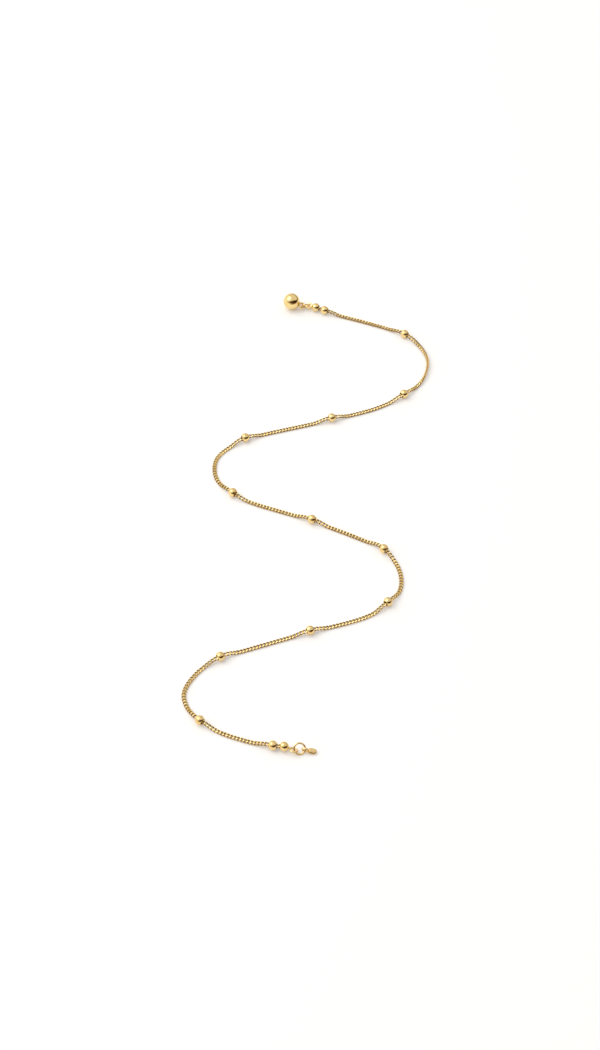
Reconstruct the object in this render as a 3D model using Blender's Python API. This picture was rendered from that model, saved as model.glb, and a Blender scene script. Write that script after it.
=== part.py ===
"""Beaded necklace: a fine chain with drilled beads, laid open in an S, with a ball clasp.

The chain follows a smooth curve through the points of ROUTE, seen from above. The curve is
scaled so that its length is the length of the chain, which is counted in links. Beads are
placed by their distance along it. The ball end lies towards +Y and the ring end towards -Y.
"""

import math
from collections import namedtuple

import bmesh
import bpy
import numpy as np
from mathutils import Matrix, Vector

MM = 0.001

# Chain
LINK_PITCH = 1.10 * MM
CHAIN_WIDTH = 1.50 * MM
STRETCH_LINKS = (26, 29, 23, 26, 26, 24, 22, 20, 23, 25, 25, 20)
END_STRETCH_LINKS = 1
FLOOR_CLEARANCE = 0.02 * MM
TUBE_STEP = 5.1 * MM
TUBE_BEVEL_RESOLUTION = 2

# Where the chain lies, from the top end bead to the bottom one
ROUTE = [
    (5.6, 98.8), (8.7, 97.4), (16.9, 94.6), (25.4, 91.5), (33.7, 87.8),
    (40.8, 82.1), (44.4, 73.9), (42.7, 65.3), (37.1, 58.4), (29.6, 53.4),
    (21.4, 49.7), (4.0, 44.4), (-13.5, 39.3), (-21.4, 35.7), (-27.9, 29.0),
    (-27.8, 20.3), (-22.0, 13.3), (-14.3, 9.2), (2.7, 2.7), (19.1, -5.0),
    (26.6, -9.5), (31.6, -17.0), (31.8, -25.8), (26.2, -32.7), (18.5, -37.4),
    (1.1, -42.9), (-15.9, -48.8), (-24.2, -51.9), (-31.4, -57.2), (-35.6, -65.3),
    (-32.5, -73.4), (-25.3, -78.7), (-17.0, -82.1), (-8.2, -84.5), (-4.8, -84.9),
]
ROUTE_SAMPLES = 16

# Beads
BEAD_DIAMETER = 3.00 * MM
HOLE_CLEARANCE = 0.20 * MM
BEAD_SIDES = 14
BEAD_BANDS = 7
SEAT_DEPTH = 1.30 * MM
SEAT_CLEARANCE = 0.30 * MM
CHAIN_LEAD = 0.25 * MM

# Wire eyes: one size on the top end bead and on the ball, a longer one on the bottom end bead
EYE_DIAMETER = 2.50 * MM
EYE_WIRE = 0.70 * MM
EYE_NECK = 0.05 * MM
LONG_EYE_DIAMETER = 2.80 * MM
LONG_EYE_WIRE = 0.55 * MM
LONG_EYE_NECK = 0.55 * MM
EYE_SIDES = 12
NECK_DIAMETER = 0.90 * MM
EYE_CLEARANCE = 0.28 * MM
LONG_EYE_CLEARANCE = 0.42 * MM

# Rings
JUMP_RING_DIAMETER = 3.35 * MM
JUMP_RING_WIRE = 0.52 * MM
END_RING_DIAMETER = 4.00 * MM
END_RING_WIRE = 0.60 * MM
RING_SIDES = 16
WIRE_SIDES = 6

# How the top end lies: turns in degrees, dips towards the floor
TOP_EYE_TURN = 5.0
TOP_EYE_DIP = 4.0
JUMP_RING_HEADING = 187.0
JUMP_RING_ROLL = 62.0
BALL_HEADING = -16.0
BALL_DIP = 16.0

# How the bottom end lies
BOTTOM_EYE_TURN = -18.0
BOTTOM_EYE_RISE = -3.0
BOTTOM_EYE_ROLL = 10.0
END_RING_HEADING = -80.0
END_RING_EYE_ANGLE = 172.0

# Clasp ball
BALL_DIAMETER = 5.90 * MM
BALL_SIDES = 16
BALL_BANDS = 11
SLOT_CLEARANCE = 0.20 * MM

# Clasp tongue: a strip curled round the end ring and folded back at its tip
STRIP_THICKNESS = 0.30 * MM
TONGUE_WIDTH = 1.80 * MM
TONGUE_NECK = 0.60 * MM
TONGUE_PLAY = 0.15 * MM
TONGUE_LENGTH = 3.60 * MM
TONGUE_CURL_DIAMETER = 2.10 * MM
TONGUE_FOLD_GAP = 0.35 * MM
TONGUE_LIFT = 0.12 * MM
TONGUE_HEADING = -10.0
TONGUE_ROLL = 14.0
CURL_START = -18.0
CURL_STEPS = 12
FOLD_STEPS = 4
LEAF_STEPS = 6

# Where along the tongue its outline is how wide: shares of TONGUE_LENGTH and of the
# way from TONGUE_NECK to TONGUE_WIDTH
TONGUE_OUTLINE = [(0.00, 0.0), (0.14, 0.0), (0.22, 0.50), (0.32, 0.80),
                  (0.60, 1.0), (0.80, 0.95), (0.92, 0.70), (1.00, 0.42)]
UPPER_LEAF_END = 0.34

# Sizes that follow from the ones above
BEAD_RADIUS = BEAD_DIAMETER / 2
HOLE_RADIUS = CHAIN_WIDTH / 2 + HOLE_CLEARANCE
BEAD_HALF_LENGTH = math.sqrt(BEAD_RADIUS ** 2 - HOLE_RADIUS ** 2)
BEAD_BAND_ANGLE = 2 * math.acos(HOLE_RADIUS / BEAD_RADIUS) / BEAD_BANDS
BEAD_HEIGHT = BEAD_RADIUS * math.cos(BEAD_BAND_ANGLE / 2) * math.cos(math.pi / BEAD_SIDES)
CHAIN_HEIGHT = CHAIN_WIDTH / 2 + FLOOR_CLEARANCE
BALL_RADIUS = BALL_DIAMETER / 2
JUMP_RING_RADIUS = (JUMP_RING_DIAMETER - JUMP_RING_WIRE) / 2
END_RING_RADIUS = (END_RING_DIAMETER - END_RING_WIRE) / 2
CURL_RADIUS = (TONGUE_CURL_DIAMETER - STRIP_THICKNESS) / 2
FOLD_RADIUS = (TONGUE_FOLD_GAP + STRIP_THICKNESS) / 2

# An eye: the radius of its wire's middle line, its wire, how far its neck stands out of the
# bead or ball, and how far past its own centre the ring through it lies
Eye = namedtuple("Eye", "radius wire neck play")


def eye_of(diameter, wire, neck, ring_wire, clearance):
    play = diameter / 2 - wire - ring_wire / 2 - clearance
    return Eye((diameter - wire) / 2, wire, neck, play)


SHORT_EYE = eye_of(EYE_DIAMETER, EYE_WIRE, EYE_NECK, JUMP_RING_WIRE, EYE_CLEARANCE)
LONG_EYE = eye_of(LONG_EYE_DIAMETER, LONG_EYE_WIRE, LONG_EYE_NECK, END_RING_WIRE, LONG_EYE_CLEARANCE)


def heading_vector(heading, rise):
    """A unit vector at a heading from +X, in degrees, that rises by an angle above the floor."""
    turn = math.radians(heading)
    tilt = math.radians(rise)
    return Vector((math.cos(turn) * math.cos(tilt), math.sin(turn) * math.cos(tilt), math.sin(tilt)))


def axes_matrix(origin, along, across):
    """A placing matrix with its X along one direction and its Y as near as can be to another."""
    x_axis = along.normalized()
    y_axis = (across - across.dot(x_axis) * x_axis).normalized()
    z_axis = x_axis.cross(y_axis)
    turned = Matrix((x_axis, y_axis, z_axis)).transposed().to_4x4()
    return Matrix.Translation(origin) @ turned


def chain_curve():
    """A smooth curve through ROUTE, scaled to the chain's length, and the length at each point."""
    knots = np.array(ROUTE)
    before = np.vstack([2 * knots[0] - knots[1], knots[:-1]])
    after = np.vstack([knots[1:], 2 * knots[-1] - knots[-2]])
    slopes = (after - before) / 2
    share = np.linspace(0, 1, ROUTE_SAMPLES, endpoint=False)[:, None, None]
    start = (2 * share ** 3 - 3 * share ** 2 + 1) * knots[None, :-1]
    end = (3 * share ** 2 - 2 * share ** 3) * knots[None, 1:]
    leaving = (share ** 3 - 2 * share ** 2 + share) * slopes[None, :-1]
    arriving = (share ** 3 - share ** 2) * slopes[None, 1:]
    points = (start + end + leaving + arriving).transpose(1, 0, 2).reshape(-1, 2)
    points = np.vstack([points, knots[-1]])
    lengths = np.concatenate([[0], np.cumsum(np.hypot(*np.diff(points, axis=0).T))])
    scale = bead_stations()[-1] / lengths[-1]
    return points * scale, lengths * scale


def bead_stations():
    """How far along the chain the centre of each bead is, from the top end bead to the bottom."""
    counts = (END_STRETCH_LINKS, *STRETCH_LINKS, END_STRETCH_LINKS)
    steps = [count * LINK_PITCH + 2 * BEAD_HALF_LENGTH for count in counts]
    return np.concatenate([[0], np.cumsum(steps)])


def place_on(curve, station, height):
    points, lengths = curve
    x = np.interp(station, lengths, points[:, 0])
    y = np.interp(station, lengths, points[:, 1])
    return Vector((x, y, height))


def heading_on(curve, station):
    """The direction of the chain at a bead, across the bead's own length."""
    ahead = place_on(curve, station + BEAD_HALF_LENGTH, 0)
    behind = place_on(curve, station - BEAD_HALF_LENGTH, 0)
    return (ahead - behind).normalized()


def new_material(name, colour, roughness):
    material = bpy.data.materials.new(name)
    material.use_nodes = True
    shader = material.node_tree.nodes["Principled BSDF"]
    shader.inputs["Base Color"].default_value = (*colour, 1)
    shader.inputs["Metallic"].default_value = 1.0
    shader.inputs["Roughness"].default_value = roughness
    return material


def mesh_from(name, bm):
    bmesh.ops.recalc_face_normals(bm, faces=bm.faces)
    mesh = bpy.data.meshes.new(name)
    bm.to_mesh(mesh)
    bm.free()
    mesh.shade_smooth()
    mesh.set_sharp_from_angle(angle=math.radians(35))
    return mesh


def turned_mesh(name, profile, sides):
    """Turn a profile of (x, radius) points about the X axis, with a flat side facing down."""
    bm = bmesh.new()
    phase = -math.pi / 2 + math.pi / sides
    verts = [bm.verts.new((x, r * math.cos(phase), r * math.sin(phase))) for x, r in profile]
    edges = [bm.edges.new(pair) for pair in zip(verts, verts[1:])]
    if profile[0][1] > 0:
        edges.append(bm.edges.new((verts[-1], verts[0])))
    bmesh.ops.spin(bm, geom=verts + edges, cent=(0, 0, 0), axis=(1, 0, 0),
                   angle=2 * math.pi, steps=sides, use_merge=True)
    bmesh.ops.remove_doubles(bm, verts=bm.verts, dist=0.001 * MM)
    return mesh_from(name, bm)


def ring_mesh(name, radius, wire, sides):
    """A round ring of wire about the Y axis, with its centre at the origin."""
    bm = bmesh.new()
    verts = []
    for step in range(WIRE_SIDES):
        angle = 2 * math.pi * (step + 0.5) / WIRE_SIDES
        verts.append(bm.verts.new((radius + wire / 2 * math.cos(angle), wire / 2 * math.sin(angle), 0)))
    edges = [bm.edges.new((verts[i - 1], verts[i])) for i in range(WIRE_SIDES)]
    bmesh.ops.spin(bm, geom=verts + edges, cent=(0, 0, 0), axis=(0, 1, 0),
                   angle=2 * math.pi, steps=sides, use_merge=True)
    bmesh.ops.remove_doubles(bm, verts=bm.verts, dist=0.001 * MM)
    return mesh_from(name, bm)


def bead_arc():
    """The outside of a drilled bead, from one end of its hole to the other."""
    half_angle = BEAD_BAND_ANGLE * BEAD_BANDS / 2
    angles = np.linspace(-half_angle, half_angle, BEAD_BANDS + 1)
    return [(BEAD_RADIUS * math.sin(a), BEAD_RADIUS * math.cos(a)) for a in angles]


def end_bead_profile(neck):
    """An end bead: a blind seat for the chain at -X, and a neck for the eye at +X."""
    seat_end = -BEAD_HALF_LENGTH + SEAT_DEPTH
    neck_radius = NECK_DIAMETER / 2
    start = -math.acos(HOLE_RADIUS / BEAD_RADIUS)
    end = math.pi / 2 - math.asin(neck_radius / BEAD_RADIUS)
    angles = np.linspace(start, end, math.ceil((end - start) / BEAD_BAND_ANGLE) + 1)
    outside = [(BEAD_RADIUS * math.sin(a), BEAD_RADIUS * math.cos(a)) for a in angles]
    neck_end = BEAD_RADIUS + neck
    return [(seat_end, 0), (seat_end, HOLE_RADIUS), *outside, (neck_end, neck_radius), (neck_end, 0)]


def ball_profile():
    """The clasp ball with the neck for its eye at +X."""
    neck_radius = NECK_DIAMETER / 2
    neck_angle = math.asin(neck_radius / BALL_RADIUS)
    angles = np.linspace(-math.pi / 2, math.pi / 2 - neck_angle, BALL_BANDS + 1)
    arc = [(BALL_RADIUS * math.sin(a), BALL_RADIUS * math.cos(a)) for a in angles[1:]]
    neck_end = BALL_RADIUS + EYE_NECK
    return [(-BALL_RADIUS, 0), *arc, (neck_end, neck_radius), (neck_end, 0)]


def tongue_path():
    """The middle line of the tongue's strip from the side, and where along the tongue each
    point is, from the free end of the curl to the free end of the upper leaf."""
    path = []
    for angle in np.radians(np.linspace(CURL_START, 270, CURL_STEPS + 1)):
        path.append((CURL_RADIUS * math.cos(angle), CURL_RADIUS * math.sin(angle), 0))
    fold_x = TONGUE_LENGTH - FOLD_RADIUS - STRIP_THICKNESS / 2
    for share in np.linspace(0, 1, LEAF_STEPS + 1)[1:]:
        path.append((share * fold_x, -CURL_RADIUS, share * fold_x))
    for angle in np.radians(np.linspace(-90, 90, FOLD_STEPS + 1)[1:]):
        x = fold_x + FOLD_RADIUS * math.cos(angle)
        path.append((x, -CURL_RADIUS + FOLD_RADIUS * (1 + math.sin(angle)), x))
    leaf_end = UPPER_LEAF_END * TONGUE_LENGTH
    for share in np.linspace(0, 1, LEAF_STEPS + 1)[1:]:
        x = fold_x + share * (leaf_end - fold_x)
        path.append((x, -CURL_RADIUS + 2 * FOLD_RADIUS + share * TONGUE_LIFT, x))
    return path


def tongue_mesh(name):
    """Carry a flat section along the tongue's path, as wide as the outline is there."""
    path = tongue_path()
    line = np.array(path)[:, :2]
    slopes = np.gradient(line, axis=0)
    slopes /= np.hypot(*slopes.T)[:, None]
    sides = np.stack([-slopes[:, 1], slopes[:, 0]], axis=1) * STRIP_THICKNESS / 2
    shares, widening = np.array(TONGUE_OUTLINE).T
    along = np.array(path)[:, 2] / TONGUE_LENGTH
    half_widths = (TONGUE_NECK + (TONGUE_WIDTH - TONGUE_NECK) * np.interp(along, shares, widening)) / 2
    bm = bmesh.new()
    rings = []
    for middle, side, half_width in zip(line, sides, half_widths):
        corners = [(middle + side, half_width), (middle + side, -half_width),
                   (middle - side, -half_width), (middle - side, half_width)]
        rings.append([bm.verts.new((point[0], y, point[1])) for point, y in corners])
    for near, far in zip(rings, rings[1:]):
        for i in range(4):
            bm.faces.new((near[i - 1], near[i], far[i], far[i - 1]))
    bm.faces.new(rings[0])
    bm.faces.new(rings[-1][::-1])
    return mesh_from(name, bm)


def slot_mesh(name):
    """The slot in the ball: the tongue's folded leaf and its clearance, deep enough for it."""
    depth = TONGUE_LENGTH * (1 - UPPER_LEAF_END) + SLOT_CLEARANCE
    width = TONGUE_WIDTH + 2 * SLOT_CLEARANCE
    height = 2 * FOLD_RADIUS + STRIP_THICKNESS + TONGUE_LIFT + 2 * SLOT_CLEARANCE
    bm = bmesh.new()
    bmesh.ops.create_cube(bm, size=1)
    reach = depth + BALL_RADIUS
    bmesh.ops.scale(bm, vec=(reach, width, height), verts=bm.verts)
    bmesh.ops.translate(bm, vec=(-2 * BALL_RADIUS + reach / 2, 0, 0), verts=bm.verts)
    return mesh_from(name, bm)


def place(name, data, matrix, material, parent):
    piece = bpy.data.objects.new(name, data)
    bpy.context.collection.objects.link(piece)
    piece.parent = parent
    piece.matrix_local = matrix
    if not data.materials:
        data.materials.append(material)
    return piece


def add_form(piece, name, data, matrix, operation, parent):
    """Join a hidden form to a piece, or cut it out of the piece."""
    form = place(name, data, matrix, piece.data.materials[0], parent)
    form.hide_render = True
    form.display_type = "WIRE"
    modifier = piece.modifiers.new(name, "BOOLEAN")
    modifier.operation = operation
    modifier.object = form


def chain_points(curve, stations, top, bottom):
    """The middle line of the chain: straight through each bead, and down on the floor between."""
    reach = BEAD_HALF_LENGTH + CHAIN_LEAD
    inside = SEAT_DEPTH - SEAT_CLEARANCE - BEAD_HALF_LENGTH
    points = [top @ Vector((inside, 0, 0)), top @ Vector((-reach, 0, 0))]
    for station, following in zip(stations[1:-1], stations[2:]):
        centre = place_on(curve, station, BEAD_HEIGHT)
        heading = heading_on(curve, station)
        points += [centre - reach * heading, centre + reach * heading]
        gap = following - station - 2 * reach
        steps = math.ceil(gap / TUBE_STEP)
        for step in range(1, steps):
            points.append(place_on(curve, station + reach + gap * step / steps, CHAIN_HEIGHT))
    return points + [bottom @ Vector((-reach, 0, 0)), bottom @ Vector((inside, 0, 0))]


def chain_tube(name, points):
    curve = bpy.data.curves.new(name, "CURVE")
    curve.dimensions = "3D"
    curve.bevel_depth = CHAIN_WIDTH / 2
    curve.bevel_resolution = TUBE_BEVEL_RESOLUTION
    curve.use_fill_caps = True
    spline = curve.splines.new("POLY")
    spline.points.add(len(points) - 1)
    for knot, point in zip(spline.points, points):
        knot.co = (*point, 1)
    return curve


def centre_on_floor(parent):
    """Move the whole necklace so that the origin is under the middle of its box, on the floor."""
    bpy.context.view_layer.update()
    graph = bpy.context.evaluated_depsgraph_get()
    corners = []
    for piece in bpy.data.objects:
        if piece.type not in ("MESH", "CURVE") or piece.hide_render:
            continue
        evaluated = piece.evaluated_get(graph)
        mesh = evaluated.to_mesh()
        places = [evaluated.matrix_world @ vertex.co for vertex in mesh.vertices]
        corners += [np.min(places, axis=0), np.max(places, axis=0)]
        evaluated.to_mesh_clear()
    low = np.min(corners, axis=0)
    high = np.max(corners, axis=0)
    parent.location = (-(low[0] + high[0]) / 2, -(low[1] + high[1]) / 2, -low[2])


def make_beads(curve, stations, material, parent):
    """Thirteen drilled beads on the chain, between the two end beads."""
    mesh = turned_mesh("station_bead", bead_arc(), BEAD_SIDES)
    for number, station in enumerate(stations[1:-1], start=1):
        across = Vector((0, 0, 1)).cross(heading_on(curve, station))
        matrix = axes_matrix(place_on(curve, station, BEAD_HEIGHT), heading_on(curve, station), across)
        place(f"station_bead_{number:02d}", mesh, matrix, material, parent)


def eye_reach(body_radius, eye):
    return body_radius + eye.neck + eye.radius


def make_end_bead(name, matrix, eye, eye_axis, material, parent):
    """An end bead with its eye, whose hole runs as nearly as can be along eye_axis."""
    profile = end_bead_profile(eye.neck)
    bead = place(name, turned_mesh(name, profile, BEAD_SIDES), matrix, material, parent)
    centre = matrix @ Vector((eye_reach(BEAD_RADIUS, eye), 0, 0))
    eye_matrix = axes_matrix(centre, matrix.to_3x3().col[0], eye_axis)
    eye_ring = ring_mesh(name + "_eye", eye.radius, eye.wire, EYE_SIDES)
    add_form(bead, name + "_eye", eye_ring, eye_matrix, "UNION", parent)


def make_top_end(matrix, ring_material, ball_material, bead_material, parent):
    """The top end bead's eye, the jump ring through it, and the clasp ball, at rest on the floor."""
    link = matrix @ Vector((eye_reach(BEAD_RADIUS, SHORT_EYE) + SHORT_EYE.play, 0, 0))
    ball_axis = heading_vector(BALL_HEADING, -BALL_DIP)
    ball_eye_reach = eye_reach(BALL_RADIUS, SHORT_EYE)
    hook_height = BALL_RADIUS + (ball_eye_reach + SHORT_EYE.play) * ball_axis.z
    climb = math.degrees(math.asin((hook_height - link.z) / (2 * JUMP_RING_RADIUS)))
    ring_along = heading_vector(JUMP_RING_HEADING, climb)
    level = Vector((0, 0, 1)).cross(ring_along).normalized()
    ring_across = Matrix.Rotation(math.radians(JUMP_RING_ROLL), 3, ring_along) @ level
    ring_axis = ring_along.cross(ring_across)
    ring_matrix = axes_matrix(link + JUMP_RING_RADIUS * ring_along, ring_along, ring_axis)
    ring = ring_mesh("jump_ring", JUMP_RING_RADIUS, JUMP_RING_WIRE, RING_SIDES)
    place("jump_ring", ring, ring_matrix, ring_material, parent)
    make_end_bead("end_bead_top", matrix, SHORT_EYE, ring_across, bead_material, parent)

    hook = link + 2 * JUMP_RING_RADIUS * ring_along
    ball_centre = hook - (ball_eye_reach + SHORT_EYE.play) * ball_axis
    ball_matrix = axes_matrix(ball_centre, ball_axis, ring_across)
    ball = place("clasp_ball", turned_mesh("clasp_ball", ball_profile(), BALL_SIDES),
                 ball_matrix, ball_material, parent)
    eye = ring_mesh("clasp_ball_eye", SHORT_EYE.radius, SHORT_EYE.wire, EYE_SIDES)
    eye_matrix = axes_matrix(ball_centre + ball_eye_reach * ball_axis, ball_axis, ring_across)
    add_form(ball, "clasp_ball_eye", eye, eye_matrix, "UNION", parent)
    level_across = Vector((0, 0, 1)).cross(ball_axis)
    slot_matrix = axes_matrix(ball_centre, ball_axis, level_across)
    add_form(ball, "clasp_ball_slot", slot_mesh("clasp_ball_slot"), slot_matrix, "DIFFERENCE", parent)


def make_bottom_end(matrix, ring_material, tongue_material, bead_material, parent):
    """The bottom end bead's eye, the end ring leaning in it with its rim on the floor, and the
    tongue on the ring."""
    outward = matrix.to_3x3().col[0]
    link = matrix @ Vector((eye_reach(BEAD_RADIUS, LONG_EYE) + LONG_EYE.play, 0, 0))
    eye_angle = math.radians(END_RING_EYE_ANGLE)
    rise = (link.z - END_RING_WIRE / 2) / (END_RING_RADIUS * (1 - math.sin(eye_angle)))
    lean = math.degrees(math.asin(rise))
    downhill = heading_vector(END_RING_HEADING, -lean)
    level = heading_vector(END_RING_HEADING + 90, 0)
    ring_axis = level.cross(downhill)

    def rim(angle):
        return END_RING_RADIUS * (math.cos(angle) * level + math.sin(angle) * downhill)

    def rim_direction(angle):
        return math.cos(angle) * downhill - math.sin(angle) * level

    centre = link - rim(eye_angle)
    ring = ring_mesh("end_ring", END_RING_RADIUS, END_RING_WIRE, RING_SIDES)
    place("end_ring", ring, axes_matrix(centre, level, ring_axis), ring_material, parent)
    eye_turn = Matrix.Rotation(math.radians(BOTTOM_EYE_ROLL), 3, outward)
    eye_axis = eye_turn @ rim_direction(eye_angle)
    make_end_bead("end_bead_bottom", matrix, LONG_EYE, eye_axis, bead_material, parent)

    roll = math.radians(TONGUE_ROLL)
    below = (CURL_RADIUS + STRIP_THICKNESS / 2) * math.cos(roll) + TONGUE_WIDTH / 2 * math.sin(roll)
    drop = (centre.z + TONGUE_PLAY - below) / (END_RING_RADIUS * rise)
    on_ring = centre + rim(math.asin(drop))
    curl_centre = Vector((on_ring.x, on_ring.y, below))
    tongue_along = heading_vector(TONGUE_HEADING, 0)
    flat_across = Vector((0, 0, 1)).cross(tongue_along)
    across = Matrix.Rotation(roll, 3, tongue_along) @ flat_across
    tongue_matrix = axes_matrix(curl_centre, tongue_along, across)
    place("clasp_tongue", tongue_mesh("clasp_tongue"), tongue_matrix, tongue_material, parent)


def main():
    for leftover in list(bpy.data.objects):
        bpy.data.objects.remove(leftover)
    chain_material = new_material("gold_chain", (0.83, 0.60, 0.28), 0.22)
    bead_material = new_material("gold_bead", (0.86, 0.61, 0.27), 0.12)
    ball_material = new_material("gold_ball", (0.86, 0.62, 0.28), 0.10)
    ring_material = new_material("gold_wire", (0.82, 0.60, 0.29), 0.18)
    tongue_material = new_material("gold_tongue", (0.84, 0.60, 0.30), 0.20)

    necklace = bpy.data.objects.new("necklace", None)
    bpy.context.collection.objects.link(necklace)
    curve = chain_curve()
    stations = bead_stations()
    make_beads(curve, stations, bead_material, necklace)

    first = heading_on(curve, stations[0])
    top_heading = math.degrees(math.atan2(-first.y, -first.x)) + TOP_EYE_TURN
    top_axis = heading_vector(top_heading, -TOP_EYE_DIP)
    top = axes_matrix(place_on(curve, stations[0], BEAD_RADIUS), top_axis,
                      Vector((0, 0, 1)).cross(top_axis))
    last = heading_on(curve, stations[-1])
    bottom_heading = math.degrees(math.atan2(last.y, last.x)) + BOTTOM_EYE_TURN
    bottom_axis = heading_vector(bottom_heading, BOTTOM_EYE_RISE)
    bottom = axes_matrix(place_on(curve, stations[-1], BEAD_RADIUS), bottom_axis,
                         Vector((0, 0, 1)).cross(bottom_axis))

    tube = chain_tube("chain", chain_points(curve, stations, top, bottom))
    place("chain", tube, Matrix.Identity(4), chain_material, necklace)
    make_top_end(top, ring_material, ball_material, bead_material, necklace)
    make_bottom_end(bottom, ring_material, tongue_material, bead_material, necklace)
    centre_on_floor(necklace)


main()
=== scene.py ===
"""Looks of the beaded necklace: polished gold links, beads and fittings on a white surface.

Each piece is a surface on a grid of two parameters: rows run along it and columns round it.
A local shape has its X along the piece, and a placing then puts it where its CAD node is.
"""

import math
from collections import namedtuple

import bmesh
import bpy
import numpy as np
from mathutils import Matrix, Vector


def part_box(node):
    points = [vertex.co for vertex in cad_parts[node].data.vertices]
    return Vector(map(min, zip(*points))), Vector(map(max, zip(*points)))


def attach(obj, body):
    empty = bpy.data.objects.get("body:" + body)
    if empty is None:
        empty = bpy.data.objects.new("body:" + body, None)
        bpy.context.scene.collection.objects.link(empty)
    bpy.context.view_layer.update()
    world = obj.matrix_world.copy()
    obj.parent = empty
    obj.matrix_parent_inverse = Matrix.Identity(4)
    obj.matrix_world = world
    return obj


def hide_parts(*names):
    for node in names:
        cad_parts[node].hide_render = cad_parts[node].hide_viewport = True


MM = 0.001

# Chain, as in the part
LINK_PITCH = 1.10 * MM
CHAIN_WIDTH = 1.50 * MM
STRETCH_LINKS = (26, 29, 23, 26, 26, 24, 22, 20, 23, 25, 25, 20)
END_STRETCH_LINKS = 1
ROUTE = [
    (5.6, 98.8), (8.7, 97.4), (16.9, 94.6), (25.4, 91.5), (33.7, 87.8),
    (40.8, 82.1), (44.4, 73.9), (42.7, 65.3), (37.1, 58.4), (29.6, 53.4),
    (21.4, 49.7), (4.0, 44.4), (-13.5, 39.3), (-21.4, 35.7), (-27.9, 29.0),
    (-27.8, 20.3), (-22.0, 13.3), (-14.3, 9.2), (2.7, 2.7), (19.1, -5.0),
    (26.6, -9.5), (31.6, -17.0), (31.8, -25.8), (26.2, -32.7), (18.5, -37.4),
    (1.1, -42.9), (-15.9, -48.8), (-24.2, -51.9), (-31.4, -57.2), (-35.6, -65.3),
    (-32.5, -73.4), (-25.3, -78.7), (-17.0, -82.1), (-8.2, -84.5), (-4.8, -84.9),
]
ROUTE_SAMPLES = 16

# Links: an oval of round wire, twisted so that the chain lies flat. The lean, in degrees, is
# where round the link its wire is highest.
LINK_WIRE = 0.45 * MM
LINK_TWIST = 0.26 * MM
LINK_LEAN = 30.0
LINK_PLAY = 0.03 * MM
LINK_STEPS = 12
LINK_SIDES = 6
LINK_ROLL_JITTER = 1.5
LINK_YAW_JITTER = 1.0

# Painted shade in the recesses of the links: the attribute that holds it, the distances from the
# link's own middle plane at which it starts to fade and is gone, and its colour
PAINTED_SHADE = "painted_shade"
PAINTED_SHADE_DEPTH = (0.18 * MM, 0.32 * MM)
PAINTED_SHADE_COLOUR = (0.30, 0.13, 0.02)

# How the chain rises to a bead: over what distance, and how far outside the bead it has risen
CHAIN_LIFT_REACH = 5.5 * MM
CHAIN_LEAD = 0.25 * MM

# How far the chain is rolled onto its edge, in degrees: stretch number and share of it, roll
CHAIN_ROLL = [(0.0, 0), (2.0, 0), (2.18, 40), (2.38, 78), (2.60, 78),
              (2.76, 25), (2.86, 0), (13.0, 0)]

# Beads
BEAD_DIAMETER = 3.00 * MM
HOLE_CLEARANCE = 0.20 * MM
SEAT_DEPTH = 1.30 * MM
SEAT_CLEARANCE = 0.30 * MM
RIM_ROUNDING = 0.07 * MM
BEAD_SIDES = 48
BEAD_BANDS = 30

# Wire eyes: one size on the top end bead and on the ball, a longer one on the bottom end bead
EYE_DIAMETER = 2.50 * MM
EYE_WIRE = 0.70 * MM
EYE_NECK = 0.05 * MM
LONG_EYE_DIAMETER = 2.80 * MM
LONG_EYE_WIRE = 0.55 * MM
LONG_EYE_NECK = 0.55 * MM
NECK_DIAMETER = 0.90 * MM
EYE_CLEARANCE = 0.28 * MM
LONG_EYE_CLEARANCE = 0.42 * MM
EYE_STEPS = 44
EYE_SIDES = 14

# Solder round a neck, in neck radii: how wide it starts on the body, and how far it runs out
FILLET_WIDTH = 1.6
FILLET_LENGTH = 0.2

# Rings, each cut through once. The bevel of a cut is a share of the wire.
JUMP_RING_DIAMETER = 3.35 * MM
JUMP_RING_WIRE = 0.52 * MM
END_RING_DIAMETER = 4.00 * MM
END_RING_WIRE = 0.60 * MM
RING_STEPS = 84
RING_SIDES = 18
RING_SPLIT = 0.04 * MM
RING_CUT_BEVEL = 0.03
JUMP_RING_SPLIT_AT = 72.0
END_RING_SPLIT_AT = 118.0

# How the top end lies: turns in degrees, dips towards the floor
TOP_EYE_TURN = 5.0
TOP_EYE_DIP = 4.0
JUMP_RING_HEADING = 187.0
JUMP_RING_ROLL = 62.0
BALL_HEADING = -16.0
BALL_DIP = 16.0

# How the bottom end lies
BOTTOM_EYE_TURN = -18.0
BOTTOM_EYE_RISE = -3.0
BOTTOM_EYE_ROLL = 10.0
END_RING_HEADING = -80.0
END_RING_EYE_ANGLE = 172.0

# Clasp ball
BALL_DIAMETER = 5.90 * MM
SLOT_CLEARANCE = 0.20 * MM
SLOT_SQUARENESS = 7.0
BALL_SIDES = 96
BALL_BANDS = 44

# Clasp tongue
STRIP_THICKNESS = 0.30 * MM
TONGUE_WIDTH = 1.80 * MM
TONGUE_NECK = 0.60 * MM
TONGUE_PLAY = 0.15 * MM
TONGUE_LENGTH = 3.60 * MM
TONGUE_CURL_DIAMETER = 2.10 * MM
TONGUE_FOLD_GAP = 0.35 * MM
TONGUE_LIFT = 0.12 * MM
TONGUE_CROWN = 0.30 * MM
TONGUE_HEADING = -10.0
TONGUE_ROLL = 14.0
CURL_START = -18.0
CURL_STEPS = 48
LEAF_STEPS = 26
FOLD_STEPS = 16
STRIP_SIDES = 24
STRIP_SQUARENESS = 5.0
OUTLINE_SMOOTHING = 7
TONGUE_OUTLINE = [(0.00, 0.0), (0.14, 0.0), (0.22, 0.50), (0.32, 0.80),
                  (0.60, 1.0), (0.80, 0.95), (0.92, 0.70), (1.00, 0.42)]
UPPER_LEAF_END = 0.34

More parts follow.
